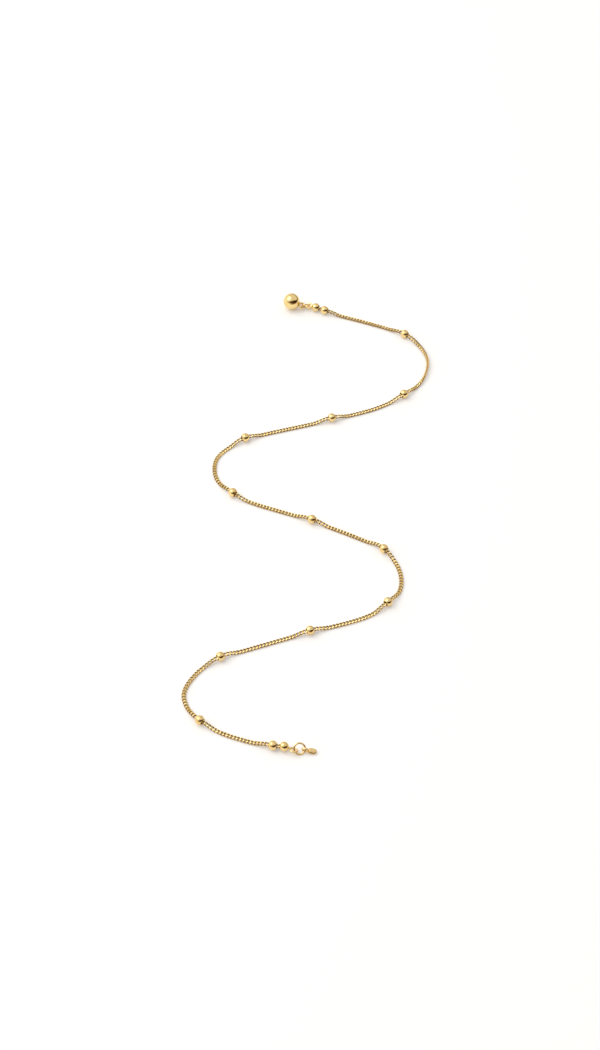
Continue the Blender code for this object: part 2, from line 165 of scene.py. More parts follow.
# How a free end of wire or strip is rounded off: share of the section, at each added row. The
# strip's ends stand out by a share of a half round.
END_ROUNDING = (0.0, 0.80, 0.95)
STRIP_END_BULGE = 0.6
MERGE = 0.0001 * MM
SHARP_ANGLE = 40.0
SEED = 11

# Camera: where the middle of the view meets the floor, from the route's own origin
CAMERA_TARGET = (-0.015 * MM, 0.93 * MM, 0.0)
CAMERA_ELEVATION = 51.62
CAMERA_DISTANCE = 659.3 * MM
CAMERA_LENS = 68.57
SENSOR_WIDTH = 36.0

# Sizes that follow from the ones above
BEAD_RADIUS = BEAD_DIAMETER / 2
HOLE_RADIUS = CHAIN_WIDTH / 2 + HOLE_CLEARANCE
BEAD_HALF_LENGTH = math.sqrt(BEAD_RADIUS ** 2 - HOLE_RADIUS ** 2)
BALL_RADIUS = BALL_DIAMETER / 2
JUMP_RING_RADIUS = (JUMP_RING_DIAMETER - JUMP_RING_WIRE) / 2
END_RING_RADIUS = (END_RING_DIAMETER - END_RING_WIRE) / 2
CURL_RADIUS = (TONGUE_CURL_DIAMETER - STRIP_THICKNESS) / 2
FOLD_RADIUS = (TONGUE_FOLD_GAP + STRIP_THICKNESS) / 2
LINK_LENGTH = LINK_PITCH + LINK_WIRE + LINK_PLAY
UP = np.array([0.0, 0.0, 1.0])

# A place for a local shape: its origin, and its X, Y and Z axes as rows
Placing = namedtuple("Placing", "origin axes")

# An eye: the radius of its wire's middle line, its wire, how far its neck stands out of the
# bead or ball, and how far past its own centre the ring through it lies
Eye = namedtuple("Eye", "radius wire neck play")


def eye_of(diameter, wire, neck, ring_wire, clearance):
    play = diameter / 2 - wire - ring_wire / 2 - clearance
    return Eye((diameter - wire) / 2, wire, neck, play)


SHORT_EYE = eye_of(EYE_DIAMETER, EYE_WIRE, EYE_NECK, JUMP_RING_WIRE, EYE_CLEARANCE)
LONG_EYE = eye_of(LONG_EYE_DIAMETER, LONG_EYE_WIRE, LONG_EYE_NECK, END_RING_WIRE, LONG_EYE_CLEARANCE)


def unit(vectors):
    return vectors / np.linalg.norm(vectors, axis=-1, keepdims=True)


def smoothstep(share):
    clipped = np.clip(share, 0, 1)
    return clipped ** 2 * (3 - 2 * clipped)


def heading_vector(heading, rise):
    """A unit vector at a heading from +X, in degrees, that rises by an angle above the floor."""
    turn = math.radians(heading)
    tilt = math.radians(rise)
    return np.array([math.cos(turn) * math.cos(tilt), math.sin(turn) * math.cos(tilt), math.sin(tilt)])


def turned_about(vector, axis, degrees):
    """A vector turned about an axis at right angles to it: v cos t + (axis x v) sin t."""
    turn = math.radians(degrees)
    return vector * math.cos(turn) + np.cross(axis, vector) * math.sin(turn)


def placing_at(origin, along, across):
    """A placing with its X along one direction and its Y as near as can be to another."""
    x_axis = unit(along)
    y_axis = unit(across - across.dot(x_axis) * x_axis)
    return Placing(np.asarray(origin), np.array([x_axis, y_axis, np.cross(x_axis, y_axis)]))


def put(placing, points):
    return placing.origin + np.asarray(points, dtype=float) @ placing.axes


def bead_stations():
    """How far along the chain the centre of each bead is, from the top end bead to the bottom."""
    counts = (END_STRETCH_LINKS, *STRETCH_LINKS, END_STRETCH_LINKS)
    steps = [count * LINK_PITCH + 2 * BEAD_HALF_LENGTH for count in counts]
    return np.concatenate([[0], np.cumsum(steps)])


def chain_curve(stations):
    """A smooth curve through ROUTE: between two points, the cubic that leaves each with half
    the step from its neighbour before to its neighbour after. It is scaled to the chain's
    length, and shifted so that the first bead on it is where its node is."""
    knots = np.array(ROUTE)
    before = np.vstack([2 * knots[0] - knots[1], knots[:-1]])
    after = np.vstack([knots[1:], 2 * knots[-1] - knots[-2]])
    slopes = (after - before) / 2
    share = np.linspace(0, 1, ROUTE_SAMPLES, endpoint=False)[:, None, None]
    start = (2 * share ** 3 - 3 * share ** 2 + 1) * knots[None, :-1]
    end = (3 * share ** 2 - 2 * share ** 3) * knots[None, 1:]
    leaving = (share ** 3 - 2 * share ** 2 + share) * slopes[None, :-1]
    arriving = (share ** 3 - share ** 2) * slopes[None, 1:]
    points = (start + end + leaving + arriving).transpose(1, 0, 2).reshape(-1, 2)
    points = np.vstack([points, knots[-1]])
    lengths = np.concatenate([[0], np.cumsum(np.hypot(*np.diff(points, axis=0).T))])
    scale = stations[-1] / lengths[-1]
    points, lengths = points * scale, lengths * scale
    low, high = (np.array(corner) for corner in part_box("station_bead_01"))
    first = [np.interp(stations[1], lengths, points[:, axis]) for axis in (0, 1)]
    shift = (low + high)[:2] / 2 - first
    return points + shift, lengths, shift


def along_curve(curve, stations):
    """Plan positions at some stations. Past either end the curve goes straight on."""
    points, lengths, _ = curve
    plan = np.stack([np.interp(stations, lengths, points[:, axis]) for axis in (0, 1)], axis=-1)
    before = np.minimum(stations, 0)[..., None] * unit(points[1] - points[0])
    after = np.maximum(stations - lengths[-1], 0)[..., None] * unit(points[-1] - points[-2])
    return plan + before + after


def bead_place(curve, station):
    """A bead's centre on its chain, and the chain's direction across the bead's own length."""
    centre = np.array([*along_curve(curve, station), BEAD_RADIUS])
    ahead = along_curve(curve, np.array(station + BEAD_HALF_LENGTH))
    behind = along_curve(curve, np.array(station - BEAD_HALF_LENGTH))
    return centre, unit(np.array([*(ahead - behind), 0.0]))


def grid_faces(rows, columns, close_rows):
    """The quads of a grid whose points are numbered row by row and whose columns go round."""
    row = np.arange(rows if close_rows else rows - 1)[:, None]
    column = np.arange(columns)[None, :]
    next_row = (row + 1) % rows
    next_column = (column + 1) % columns
    corners = (row * columns + column, row * columns + next_column,
               next_row * columns + next_column, next_row * columns + column)
    return np.stack(np.broadcast_arrays(*corners), axis=-1).reshape(-1, 4)


def surface(name, points, close_rows=False):
    """A mesh from rows of points. A row that shrinks to one point becomes a pole."""
    rows, columns = points.shape[:2]
    return mesh_from(name, points.reshape(-1, 3), grid_faces(rows, columns, close_rows))


def mesh_from(name, points, faces):
    mesh = bpy.data.meshes.new(name)
    mesh.from_pydata(points, [], faces)
    bm = bmesh.new()
    bm.from_mesh(mesh)
    bmesh.ops.remove_doubles(bm, verts=bm.verts, dist=MERGE)
    bmesh.ops.recalc_face_normals(bm, faces=bm.faces)
    bm.to_mesh(mesh)
    bm.free()
    mesh.shade_smooth()
    mesh.set_sharp_from_angle(angle=math.radians(SHARP_ANGLE))
    return mesh


def welded(name, first, second):
    """The union of two closed meshes, as a new mesh."""
    body = bpy.data.objects.new(name + "_body", first)
    added = bpy.data.objects.new(name + "_added", second)
    for piece in (body, added):
        bpy.context.collection.objects.link(piece)
    union = body.modifiers.new("weld", "BOOLEAN")
    union.operation = "UNION"
    union.object = added
    graph = bpy.context.evaluated_depsgraph_get()
    mesh = bpy.data.meshes.new_from_object(body.evaluated_get(graph))
    mesh.name = name
    for piece in (body, added):
        bpy.data.objects.remove(piece)
    mesh.shade_smooth()
    mesh.set_sharp_from_angle(angle=math.radians(SHARP_ANGLE))
    return mesh


def turned(profile, sides):
    """A profile of (x, radius) turned about X: (x, r cos a, r sin a) with a going round."""
    x, radius = np.array(profile).T
    angle = np.linspace(0, 2 * math.pi, sides, endpoint=False)
    radius = radius[:, None]
    shape = np.broadcast_arrays(x[:, None], radius * np.cos(angle), radius * np.sin(angle))
    return np.stack(shape, axis=-1)


def rounded_corner(start, corner, end, steps=5):
    """A corner rounded off by the parabola (1-t)^2 start + 2t(1-t) corner + t^2 end."""
    share = np.linspace(0, 1, steps).reshape(-1, *([1] * np.ndim(start)))
    start, corner, end = (np.asarray(point, dtype=float) for point in (start, corner, end))
    return (1 - share) ** 2 * start + 2 * share * (1 - share) * corner + share ** 2 * end


def hole_rim():
    """The rounded edge between a bead's hole and its outside, at the -X end."""
    outer = HOLE_RADIUS + RIM_ROUNDING
    return rounded_corner((-BEAD_HALF_LENGTH + RIM_ROUNDING, HOLE_RADIUS),
                          (-BEAD_HALF_LENGTH, HOLE_RADIUS),
                          (-math.sqrt(BEAD_RADIUS ** 2 - outer ** 2), outer))


def arc(radius, start, end, steps):
    """Points (r sin a, r cos a) of an outline about the origin, with a from -X to +X."""
    angles = np.linspace(start, end, steps)
    return radius * np.stack([np.sin(angles), np.cos(angles)], axis=-1)


def drilled_bead_profile():
    """All round the wall of a drilled bead: along the hole, over one rim and the outside."""
    rim = hole_rim()
    half_angle = math.acos((HOLE_RADIUS + RIM_ROUNDING) / BEAD_RADIUS)
    outside = arc(BEAD_RADIUS, -half_angle, half_angle, BEAD_BANDS)
    far_rim = rim[::-1] * (-1, 1)
    return np.vstack([rim, outside[1:-1], far_rim, [(0, HOLE_RADIUS)]])


def neck_profile(body_radius, neck_end):
    """From a round body to its neck, with a fillet of solder, and on to the neck's end."""
    neck = NECK_DIAMETER / 2
    wide = FILLET_WIDTH * neck
    fillet_end = min(body_radius + FILLET_LENGTH * neck, neck_end)
    fillet = rounded_corner((math.sqrt(body_radius ** 2 - wide ** 2), wide),
                            (math.sqrt(body_radius ** 2 - neck ** 2), neck), (fillet_end, neck))
    return np.vstack([fillet, [(neck_end, neck), (neck_end, 0)]])


def end_bead_profile(neck_length):
    """An end bead: a blind seat for the chain at -X, the round outside, and the neck at +X."""
    seat_end = -BEAD_HALF_LENGTH + SEAT_DEPTH
    rim = hole_rim()
    neck = neck_profile(BEAD_RADIUS, BEAD_RADIUS + neck_length)
    start = -math.acos(rim[-1][1] / BEAD_RADIUS)
    end = math.pi / 2 - math.asin(neck[0][1] / BEAD_RADIUS)
    outside = arc(BEAD_RADIUS, start, end, BEAD_BANDS)
    return np.vstack([[(seat_end, 0), (seat_end, HOLE_RADIUS)], rim, outside[1:-1], neck])


def ring_surface(name, radius, wire, steps, sides, placing, split_at=None):
    """A ring about its own Y. At angle a its wire has its middle at radius (cos a, 0, sin a),
    and a round section. A split ring starts and ends in a flat, rounded-off face."""
    if split_at is None:
        angles = np.linspace(0, 2 * math.pi, steps, endpoint=False)
        shares = np.ones(steps)
    else:
        half_split = RING_SPLIT / 2 / radius
        start = math.radians(split_at) + half_split
        angles = np.linspace(start, start + 2 * math.pi - 2 * half_split, steps)
        extra = len(END_ROUNDING)
        bevel = np.array([0, 0, RING_CUT_BEVEL]) * wire / radius
        angles = np.concatenate([angles[0] + bevel, angles[1:-1], (angles[-1] - bevel)[::-1]])
        shares = np.concatenate([END_ROUNDING, np.ones(steps - 2), END_ROUNDING[::-1]])
        shares[extra - 1] = shares[-extra] = 1
    turn = np.linspace(0, 2 * math.pi, sides, endpoint=False)
    outward = radius + wire / 2 * shares[:, None] * np.cos(turn)
    sideways = wire / 2 * shares[:, None] * np.sin(turn)
    angles = angles[:, None]
    points = np.stack([outward * np.cos(angles), sideways, outward * np.sin(angles)], axis=-1)
    return surface(name, put(placing, points), close_rows=split_at is None)


def rounded_box_radius(half_width, half_height, angles, squareness):
    """How far a superellipse |y/w|^n + |z/h|^n = 1 is from its middle, at each angle."""
    width_share = np.abs(np.cos(angles) / half_width) ** squareness
    height_share = np.abs(np.sin(angles) / half_height) ** squareness
    return (width_share + height_share) ** (-1 / squareness)


def slotted_ball(placing):
    """The ball with its slot at -X and its neck at +X. Each row is a loop about X. In the slot
    it is a rounded box, and on the outside it turns by degrees from that into a circle."""
    angles = np.linspace(0, 2 * math.pi, BALL_SIDES, endpoint=False)
    half_width = TONGUE_WIDTH / 2 + SLOT_CLEARANCE
    half_height = FOLD_RADIUS + (STRIP_THICKNESS + TONGUE_LIFT) / 2 + SLOT_CLEARANCE
    mouth = rounded_box_radius(half_width, half_height, angles, SLOT_SQUARENESS)
    slot_end = -BALL_RADIUS + TONGUE_LENGTH * (1 - UPPER_LEAF_END) + SLOT_CLEARANCE

    def on_ball(radius):
        return np.stack([-np.sqrt(BALL_RADIUS ** 2 - radius ** 2), radius], axis=-1)

    corner = on_ball(mouth)
    inside = corner + np.array([1, 0]) * RIM_ROUNDING
    edge = rounded_corner(inside, corner, on_ball(mouth + RIM_ROUNDING))
    slot_floor = np.stack([np.full(BALL_SIDES, slot_end), mouth], axis=-1)
    middle = slot_floor * np.array([1, 0])
    neck = neck_profile(BALL_RADIUS, BALL_RADIUS + EYE_NECK)
    polar_start = np.arcsin((mouth + RIM_ROUNDING) / BALL_RADIUS)
    polar_end = math.pi - math.asin(neck[0][1] / BALL_RADIUS)
    share = np.linspace(0, 1, BALL_BANDS)[1:-1, None]
    polar = polar_start + share * (polar_end - polar_start)
    outside = BALL_RADIUS * np.stack([-np.cos(polar), np.sin(polar)], axis=-1)
    neck_rows = np.broadcast_to(neck[:, None, :], (len(neck), BALL_SIDES, 2))
    rows = np.concatenate([[middle, slot_floor], edge, outside, neck_rows])
    x, radius = rows[..., 0], rows[..., 1]
    points = np.stack([x, radius * np.cos(angles), radius * np.sin(angles)], axis=-1)
    return surface("ball_body", put(placing, points))


def tongue_line():
    """The tongue's middle line from the side, as (x, z, distance along the tongue): round the
    curl, straight along the lower leaf, round the fold and back along the upper leaf."""
    curl = np.radians(np.linspace(CURL_START, 270, CURL_STEPS))
    fold_x = TONGUE_LENGTH - FOLD_RADIUS - STRIP_THICKNESS / 2
    leaf = np.linspace(0, fold_x, LEAF_STEPS)[1:]
    fold = np.radians(np.linspace(-90, 90, FOLD_STEPS))[1:]
    back = np.linspace(0, 1, LEAF_STEPS)[1:]
    fold_reach = fold_x + FOLD_RADIUS * np.cos(fold)
    back_reach = fold_x + back * (UPPER_LEAF_END * TONGUE_LENGTH - fold_x)
    x = np.concatenate([CURL_RADIUS * np.cos(curl), leaf, fold_reach, back_reach])
    z = np.concatenate([CURL_RADIUS * np.sin(curl), np.full(len(leaf), -CURL_RADIUS),
                        -CURL_RADIUS + FOLD_RADIUS * (1 + np.sin(fold)),
                        -CURL_RADIUS + 2 * FOLD_RADIUS + smoothstep(back) * TONGUE_LIFT])
    along = np.concatenate([np.zeros(len(curl)), leaf, fold_reach, back_reach])
    return x, z, along


def tongue_surface(name, placing):
    """A flat section with rounded edges, carried along the tongue's line. Its half width w and
    half thickness t make the superellipse |y/w|^n + |s/t|^n = 1. Where the strip is wide, its
    edges bend in by the crown times (y/w)^2, so that the two leaves make a pillow."""
    x, z, along = tongue_line()
    shares, widening = np.array(TONGUE_OUTLINE).T
    window = np.hanning(OUTLINE_SMOOTHING + 2)
    outline = np.interp(along / TONGUE_LENGTH, shares, widening)
    padded = np.pad(outline, (OUTLINE_SMOOTHING + 1) // 2, mode="edge")
    widening = np.convolve(padded, window / window.sum(), mode="valid")
    half_widths = (TONGUE_NECK + (TONGUE_WIDTH - TONGUE_NECK) * widening) / 2
    slopes = unit(np.stack([np.gradient(x), np.gradient(z)], axis=-1))
    end_rows = len(END_ROUNDING)
    rows = np.concatenate([np.zeros(end_rows, int), np.arange(len(x)), np.full(end_rows, len(x) - 1)])
    shrink = np.concatenate([END_ROUNDING, np.ones(len(x)), END_ROUNDING[::-1]])
    past = STRIP_THICKNESS / 2 * np.sqrt(1 - np.array(END_ROUNDING) ** 2) * STRIP_END_BULGE
    overhang = np.concatenate([-past, np.zeros(len(x)), past[::-1]])
    line = np.stack([x, z], axis=-1)[rows] + overhang[:, None] * slopes[rows]
    angles = np.linspace(0, 2 * math.pi, STRIP_SIDES, endpoint=False)
    power = 2 / STRIP_SQUARENESS
    across = np.sign(np.cos(angles)) * np.abs(np.cos(angles)) ** power
    through = np.sign(np.sin(angles)) * np.abs(np.sin(angles)) ** power * STRIP_THICKNESS / 2
    side = np.stack([-slopes[rows, 1], slopes[rows, 0]], axis=-1)
    bent = TONGUE_CROWN * widening[rows][:, None] * across ** 2
    flat = line[:, None, :] + (shrink[:, None] * through + bent)[..., None] * side[:, None, :]
    width = shrink[:, None] * half_widths[rows][:, None] * across
    points = np.stack([flat[..., 0], width, flat[..., 1]], axis=-1)
    return surface(name, put(placing, points))


def link_points():
    """One link about the origin, with its length along X. Its wire's middle line is
    (L/2 cos u, W/2 sin u, T sin(lean - 2u)), and its section is round. The lean lifts the
    link's ends above its sides, so that they show from above as one slanting bar a link."""
    u = np.linspace(0, 2 * math.pi, LINK_STEPS, endpoint=False)
    half_length = LINK_LENGTH / 2
    half_width = (CHAIN_WIDTH - LINK_WIRE) / 2
    twist = math.radians(LINK_LEAN) - 2 * u
    middle = np.stack([half_length * np.cos(u), half_width * np.sin(u),
                       LINK_TWIST * np.sin(twist)], axis=-1)
    slope = unit(np.stack([-half_length * np.sin(u), half_width * np.cos(u),
                           -2 * LINK_TWIST * np.cos(twist)], axis=-1))
    outward = unit(np.cross(slope, UP))
    upward = np.cross(outward, slope)
    v = np.linspace(0, 2 * math.pi, LINK_SIDES, endpoint=False)[:, None]
    section = np.cos(v) * outward[:, None, :] + np.sin(v) * upward[:, None, :]
    return middle[:, None, :] + LINK_WIRE / 2 * section


def chain_surface(name, curve, stations):
    """Every link of the chain, each turned to the chain's direction and rolled with it. Near a
    bead the chain rises from the floor to the bead's hole by a smooth step. The painted shade
    attribute is 1 between the top and the underside of the links, where their colour is
    darkened as painted shade in the recesses."""
    inside = SEAT_DEPTH - SEAT_CLEARANCE - BEAD_HALF_LENGTH
    length = stations[-1] + 2 * inside
    count = round((length - LINK_LENGTH) / LINK_PITCH) + 1
    along = np.linspace(-inside + LINK_LENGTH / 2, stations[-1] + inside - LINK_LENGTH / 2, count)
    random = np.random.default_rng(SEED)
    loose_roll = np.radians(random.normal(0, LINK_ROLL_JITTER, count))
    knots, rolls = np.array(CHAIN_ROLL).T
    link = link_points().reshape(-1, 3)

    def roll_at(places):
        stretch = np.interp(places, stations, np.arange(len(stations)))
        return np.radians(np.interp(stretch, knots, rolls))

    def middle(places):
        turn = roll_at(places) + loose_roll
        rest = -(np.outer(np.sin(turn), link[:, 1]) + np.outer(np.cos(turn), link[:, 2])).min(axis=1)
        reach = BEAD_HALF_LENGTH + CHAIN_LEAD
        apart = np.abs(places[:, None] - stations).min(axis=1)
        lift = 1 - smoothstep((apart - reach) / CHAIN_LIFT_REACH)
        return np.column_stack([along_curve(curve, places), rest + lift * (BEAD_RADIUS - rest)])

    centres = middle(along)
    x_axes = unit(middle(along + LINK_PITCH / 2) - middle(along - LINK_PITCH / 2))
    yaw = np.radians(random.normal(0, LINK_YAW_JITTER, count))[:, None]
    level = unit(np.cross(UP, x_axes))
    x_axes = np.cos(yaw) * x_axes + np.sin(yaw) * level
    level = unit(np.cross(UP, x_axes))
    raised = np.cross(x_axes, level)
    roll = (roll_at(along) + loose_roll)[:, None]
    y_axes = np.cos(roll) * level + np.sin(roll) * raised
    axes = np.stack([x_axes, y_axes, np.cross(x_axes, y_axes)], axis=1)
    points = centres[:, None, :] + link @ axes
    faces = grid_faces(LINK_STEPS, LINK_SIDES, close_rows=True)
    numbers = faces[None] + np.arange(count)[:, None, None] * len(link)
    mesh = mesh_from(name, points.reshape(-1, 3), numbers.reshape(-1, 4))
    fades, gone = PAINTED_SHADE_DEPTH
    # Painted shade: 1 near the link's middle plane, fading to 0 towards its top and underside
    exposed = smoothstep((np.abs(link[:, 2]) - fades) / (gone - fades))
    painted_shade = mesh.attributes.new(PAINTED_SHADE, "FLOAT", "POINT")
    painted_shade.data.foreach_set("value", np.tile(1 - exposed, count))
    return mesh


def add_piece(mesh, material, node):
    """Show a mesh in place of its CAD node."""
    piece = bpy.data.objects.new(mesh.name, mesh)
    bpy.context.collection.objects.link(piece)
    mesh.materials.clear()
    mesh.materials.append(material)
    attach(piece, "root")
    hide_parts(node)
    return piece


def make_station_beads(curve, stations, material):
    profile = turned(drilled_bead_profile(), BEAD_SIDES)
    for number, station in enumerate(stations[1:-1], start=1):
        centre, heading = bead_place(curve, station)
        placing = placing_at(centre, heading, np.cross(UP, heading))
        mesh = surface(f"round_bead_{number:02d}", put(placing, profile), close_rows=True)
        add_piece(mesh, material, f"station_bead_{number:02d}")


def eye_reach(body_radius, eye):
    return body_radius + eye.neck + eye.radius


def make_end_bead(name, node, placing, eye, eye_axis, material):
    """An end bead, with the eye welded to its neck and its hole as nearly as can be along eye_axis."""
    body = surface(name, put(placing, turned(end_bead_profile(eye.neck), BEAD_SIDES)))
    centre = put(placing, (eye_reach(BEAD_RADIUS, eye), 0, 0))
    eye_ring = ring_surface(name + "_eye", eye.radius, eye.wire, EYE_STEPS, EYE_SIDES,
                            placing_at(centre, placing.axes[0], eye_axis))
    add_piece(welded(name, body, eye_ring), material, node)


def make_top_end(placing, materials):
    """The top end bead, the jump ring in its eye, and the clasp ball, at rest on the floor."""
    link = put(placing, (eye_reach(BEAD_RADIUS, SHORT_EYE) + SHORT_EYE.play, 0, 0))
    ball_axis = heading_vector(BALL_HEADING, -BALL_DIP)
    ball_eye_reach = eye_reach(BALL_RADIUS, SHORT_EYE)
    hook_height = BALL_RADIUS + (ball_eye_reach + SHORT_EYE.play) * ball_axis[2]
    climb = math.degrees(math.asin((hook_height - link[2]) / (2 * JUMP_RING_RADIUS)))
    ring_along = heading_vector(JUMP_RING_HEADING, climb)
    ring_across = turned_about(unit(np.cross(UP, ring_along)), ring_along, JUMP_RING_ROLL)
    ring_placing = placing_at(link + JUMP_RING_RADIUS * ring_along, ring_along,
                              np.cross(ring_along, ring_across))
    ring = ring_surface("upper_ring", JUMP_RING_RADIUS, JUMP_RING_WIRE, RING_STEPS, RING_SIDES,
                        ring_placing, JUMP_RING_SPLIT_AT)
    add_piece(ring, materials["wire"], "jump_ring")
    make_end_bead("upper_end_bead", "end_bead_top", placing, SHORT_EYE, ring_across, materials["bead"])

    hook = link + 2 * JUMP_RING_RADIUS * ring_along
    ball_centre = hook - (ball_eye_reach + SHORT_EYE.play) * ball_axis
    body = slotted_ball(placing_at(ball_centre, ball_axis, np.cross(UP, ball_axis)))
    eye_placing = placing_at(ball_centre + ball_eye_reach * ball_axis, ball_axis, ring_across)
    eye = ring_surface("ball_eye", SHORT_EYE.radius, SHORT_EYE.wire, EYE_STEPS, EYE_SIDES, eye_placing)
    add_piece(welded("slotted_ball", body, eye), materials["ball"], "clasp_ball")


def make_bottom_end(placing, materials):
    """The bottom end bead, the end ring leaning in its eye, and the tongue on the ring."""
    link = put(placing, (eye_reach(BEAD_RADIUS, LONG_EYE) + LONG_EYE.play, 0, 0))
    eye_angle = math.radians(END_RING_EYE_ANGLE)
    rise = (link[2] - END_RING_WIRE / 2) / (END_RING_RADIUS * (1 - math.sin(eye_angle)))
    lean = math.degrees(math.asin(rise))
    downhill = heading_vector(END_RING_HEADING, -lean)
    level = heading_vector(END_RING_HEADING + 90, 0)

    def rim(angle):
        return END_RING_RADIUS * (math.cos(angle) * level + math.sin(angle) * downhill)

    centre = link - rim(eye_angle)
    ring = ring_surface("lower_ring", END_RING_RADIUS, END_RING_WIRE, RING_STEPS, RING_SIDES,
                        placing_at(centre, level, np.cross(level, downhill)), END_RING_SPLIT_AT)
    add_piece(ring, materials["wire"], "end_ring")
    rim_direction = math.cos(eye_angle) * downhill - math.sin(eye_angle) * level
    outward = placing.axes[0]
    square_to_neck = unit(rim_direction - rim_direction.dot(outward) * outward)
    eye_axis = turned_about(square_to_neck, outward, BOTTOM_EYE_ROLL)
    make_end_bead("lower_end_bead", "end_bead_bottom", placing, LONG_EYE, eye_axis, materials["bead"])

    roll = math.radians(TONGUE_ROLL)
    below = (CURL_RADIUS + STRIP_THICKNESS / 2) * math.cos(roll) + TONGUE_WIDTH / 2 * math.sin(roll)
    drop = (centre[2] + TONGUE_PLAY - below) / (END_RING_RADIUS * rise)
    on_ring = centre + rim(math.asin(drop))
    tongue_along = heading_vector(TONGUE_HEADING, 0)
    across = turned_about(np.cross(UP, tongue_along), tongue_along, TONGUE_ROLL)
    tongue_placing = placing_at((on_ring[0], on_ring[1], below), tongue_along, across)
    tongue = tongue_surface("folded_tongue", tongue_placing)
    add_piece(tongue, materials["strip"], "clasp_tongue")


def group_socket(group, name, kind, in_out, value=None):
    socket = group.interface.new_socket(name, in_out=in_out, socket_type=kind)
    if value is not None:
        socket.default_value = value


def ramp(nodes, links, value, low, high):
    """A smooth step of a value, from 0 at low to 1 at high."""
    step = nodes.new("ShaderNodeMapRange")
    step.interpolation_type = "SMOOTHSTEP"
    step.inputs["From Min"].default_value = low
    step.inputs["From Max"].default_value = high
    links.new(value, step.inputs["Value"])
    return step.outputs["Result"]


def along_axis(nodes, links, direction, axis):
    """How far a direction points along an axis."""
    product = nodes.new("ShaderNodeVectorMath")
    product.operation = "DOT_PRODUCT"
    product.inputs[1].default_value = axis
    links.new(direction, product.inputs[0])
    return product.outputs["Value"]


def mixed(nodes, links, share, first, second):
    """A colour between two others. Each is a socket or a fixed colour."""
    mix = nodes.new("ShaderNodeMix")
    mix.data_type = "RGBA"
    links.new(share, mix.inputs["Factor"])
    for name, colour in (("A", first), ("B", second)):
        if isinstance(colour, tuple):
            mix.inputs[name].default_value = (*colour, 1)
        else:
            links.new(colour, mix.inputs[name])
    return mix.outputs["Result"]


# Noise in the gold. Each kind has a scale, a detail and a roughness, and the values that are
# spread out to 0 and 1.
Noise = namedtuple("Noise", "scale detail roughness low high")
TONE_NOISE = Noise(400.0, 3.0, 0.5, 0.35, 0.65)
POLISH_NOISE = Noise(900.0, 5.0, 0.6, 0.40, 0.75)
HAIRLINE_NOISE = Noise(9000.0, 2.0, 0.5, 0.30, 0.42)


def spread_noise(nodes, links, place, scale, kind):
    """One kind of noise at a place. Returns the node that spreads it, for its range and result."""
    noise = nodes.new("ShaderNodeTexNoise")
    noise.inputs["Detail"].default_value = kind.detail
    noise.inputs["Roughness"].default_value = kind.roughness
    spread = nodes.new("ShaderNodeMapRange")
    spread.inputs["From Min"].default_value = kind.low
    spread.inputs["From Max"].default_value = kind.high
    links.new(place, noise.inputs["Vector"])
    links.new(scale, noise.inputs["Scale"])
    links.new(noise.outputs["Fac"], spread.inputs["Value"])
    return spread


def tone_group():
    """Slow patches between two gold tones, as polishing leaves them."""
    group = bpy.data.node_groups.new("gold_tone", "ShaderNodeTree")
    group_socket(group, "Vector", "NodeSocketVector", "INPUT")
    group_socket(group, "Scale", "NodeSocketFloat", "INPUT", TONE_NOISE.scale)
    group_socket(group, "Pale", "NodeSocketColor", "INPUT")
    group_socket(group, "Deep", "NodeSocketColor", "INPUT")
    group_socket(group, "Colour", "NodeSocketColor", "OUTPUT")
    nodes, links = group.nodes, group.links
    given = nodes.new("NodeGroupInput")
    result = nodes.new("NodeGroupOutput")
    spread = spread_noise(nodes, links, given.outputs["Vector"], given.outputs["Scale"], TONE_NOISE)
    mix = nodes.new("ShaderNodeMix")
    mix.data_type = "RGBA"
    links.new(spread.outputs["Result"], mix.inputs["Factor"])
    links.new(given.outputs["Pale"], mix.inputs["A"])
    links.new(given.outputs["Deep"], mix.inputs["B"])
    links.new(mix.outputs["Result"], result.inputs["Colour"])
    return group


def polish_group():
    """Where the polish is bright and where handling has dulled it."""
    group = bpy.data.node_groups.new("gold_polish", "ShaderNodeTree")
    group_socket(group, "Vector", "NodeSocketVector", "INPUT")
    group_socket(group, "Scale", "NodeSocketFloat", "INPUT", POLISH_NOISE.scale)
    group_socket(group, "Bright", "NodeSocketFloat", "INPUT")
    group_socket(group, "Dull", "NodeSocketFloat", "INPUT")
    group_socket(group, "Roughness", "NodeSocketFloat", "OUTPUT")
    nodes, links = group.nodes, group.links
    given = nodes.new("NodeGroupInput")
    result = nodes.new("NodeGroupOutput")
    spread = spread_noise(nodes, links, given.outputs["Vector"], given.outputs["Scale"], POLISH_NOISE)
    links.new(given.outputs["Bright"], spread.inputs["To Min"])
    links.new(given.outputs["Dull"], spread.inputs["To Max"])
    links.new(spread.outputs["Result"], result.inputs["Roughness"])
    return group


# Hairlines: how the two sets are turned, and how long they are drawn out
HAIRLINE_TURNS = ((20, 0, 35), (-30, 15, 110))
HAIRLINE_STRETCH = (0.04, 1.0, 1.0)


